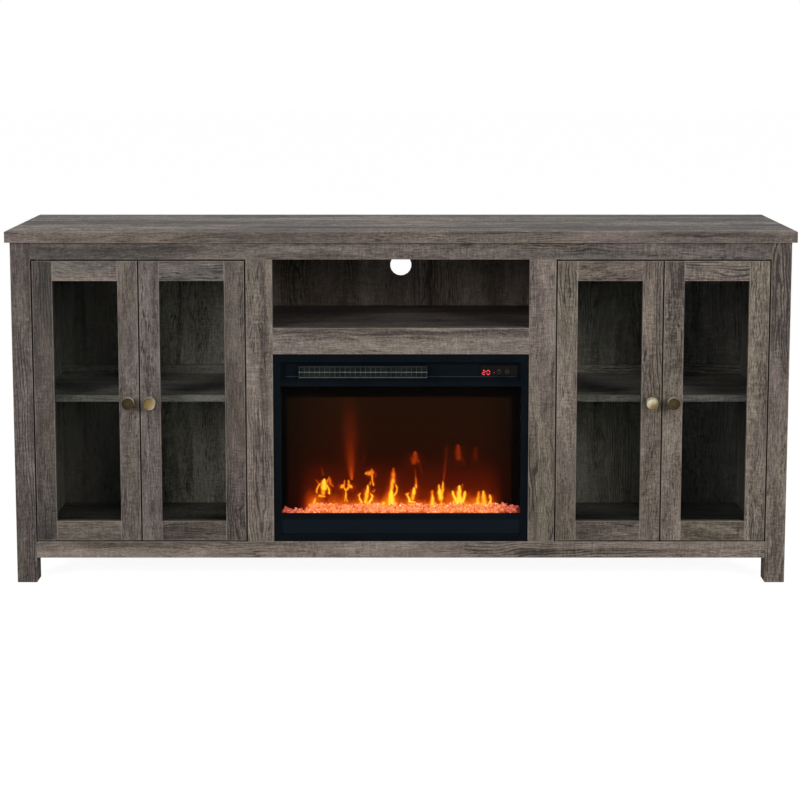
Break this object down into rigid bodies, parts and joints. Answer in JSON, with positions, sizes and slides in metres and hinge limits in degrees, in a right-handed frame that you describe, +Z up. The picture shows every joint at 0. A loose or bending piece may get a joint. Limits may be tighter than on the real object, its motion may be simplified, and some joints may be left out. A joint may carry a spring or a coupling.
{
  "type": "fireplace tv stand",
  "caption": "Low television stand with framed glass-door cabinets at both ends, an open media bay, and an electric fireplace insert with an ember bed in the middle.",
  "frame": {"origin": "on the floor, under the middle of the bounding box", "axes": "+X along the width, to the right for someone who faces the doors; +Y from the doors to the back; +Z up"},
  "size_m": [1.778, 0.4154, 0.81],
  "materials": {
    "laminate": "grey-brown weathered oak laminate, matt, with saw marks",
    "backboard": "printed fibreboard in the same oak pattern",
    "door_glass": "clear float glass",
    "knob_brass": "satin champagne brass",
    "hinge_steel": "zinc plated",
    "catch_plastic": "moulded, matt",
    "insert_black": "satin black powder coat with a blue tinge",
    "insert_glass": "smoke tinted",
    "grille_metal": "dark grey satin",
    "control_gloss": "gloss black with a red display",
    "sheet_steel": "dull black sheet",
    "flame_screen": "dark translucent screen with flame light",
    "ember_crystal": "glowing amber chips",
    "bright_aluminium": "bright"
  },
  "bodies": {
    "stand": {"top_panel": "laminate", "front_left_leg": "laminate", "front_right_leg": "laminate", "rear_left_leg": "laminate", "rear_right_leg": "laminate", "left_side_panel": "laminate", "right_side_panel": "laminate", "left_partition": "laminate", "right_partition": "laminate", "bottom_panel": "laminate", "top_front_rail": "laminate", "bottom_front_rail": "laminate", "center_cross_rail": "laminate", "left_center_stile": "laminate", "right_center_stile": "laminate", "media_shelf": "laminate", "left_shelf": "laminate", "right_shelf": "laminate", "back_stretcher": "laminate", "back_panel": "backboard", "left_outer_lower_cabinet_leaf": "hinge_steel", "left_outer_upper_cabinet_leaf": "hinge_steel", "left_inner_lower_cabinet_leaf": "hinge_steel", "left_inner_upper_cabinet_leaf": "hinge_steel", "right_inner_lower_cabinet_leaf": "hinge_steel", "right_inner_upper_cabinet_leaf": "hinge_steel", "right_outer_lower_cabinet_leaf": "hinge_steel", "right_outer_upper_cabinet_leaf": "hinge_steel", "left_magnetic_catch": "catch_plastic", "right_magnetic_catch": "catch_plastic", "insert_bezel": "insert_black", "insert_glass": "insert_glass", "insert_vent_grille": "grille_metal", "insert_control_panel": "control_gloss", "insert_housing": "sheet_steel", "heater_box": "sheet_steel", "flame_screen": "flame_screen", "ember_bed": "ember_crystal"},
    "left_outer_door": {"left_outer_door_frame": "laminate", "left_outer_door_glass": "door_glass", "left_outer_door_knob": "knob_brass", "left_outer_lower_door_leaf": "hinge_steel", "left_outer_upper_door_leaf": "hinge_steel"},
    "left_inner_door": {"left_inner_door_frame": "laminate", "left_inner_door_glass": "door_glass", "left_inner_door_knob": "knob_brass", "left_inner_lower_door_leaf": "hinge_steel", "left_inner_upper_door_leaf": "hinge_steel"},
    "right_inner_door": {"right_inner_door_frame": "laminate", "right_inner_door_glass": "door_glass", "right_inner_door_knob": "knob_brass", "right_inner_lower_door_leaf": "hinge_steel", "right_inner_upper_door_leaf": "hinge_steel"},
    "right_outer_door": {"right_outer_door_frame": "laminate", "right_outer_door_glass": "door_glass", "right_outer_door_knob": "knob_brass", "right_outer_lower_door_leaf": "hinge_steel", "right_outer_upper_door_leaf": "hinge_steel"},
    "flame_rotor": {"flame_rotor": "bright_aluminium"},
    "blower_wheel": {"blower_wheel": "bright_aluminium"}
  },
  "joints": [
    {"name": "left_outer_door_hinge", "type": "hinge", "parent": "stand", "child": "left_outer_door", "pos_m": [-0.8185, -0.17335, 0.42075], "axis": [0, 0, -1], "range_deg": [0, 110]},
    {"name": "left_inner_door_hinge", "type": "hinge", "parent": "stand", "child": "left_inner_door", "pos_m": [-0.3655, -0.17335, 0.42075], "axis": [0, 0, 1], "range_deg": [0, 110]},
    {"name": "right_inner_door_hinge", "type": "hinge", "parent": "stand", "child": "right_inner_door", "pos_m": [0.3655, -0.17335, 0.42075], "axis": [0, 0, -1], "range_deg": [0, 110]},
    {"name": "right_outer_door_hinge", "type": "hinge", "parent": "stand", "child": "right_outer_door", "pos_m": [0.8185, -0.17335, 0.42075], "axis": [0, 0, 1], "range_deg": [0, 110]},
    {"name": "flame_rotor_spin", "type": "hinge", "parent": "stand", "child": "flame_rotor", "pos_m": [0, -0.07885, 0.1818], "axis": [1, 0, 0], "continuous": true},
    {"name": "blower_wheel_spin", "type": "hinge", "parent": "stand", "child": "blower_wheel", "pos_m": [-0.086, -0.10955, 0.4928], "axis": [1, 0, 0], "continuous": true}
  ]
}
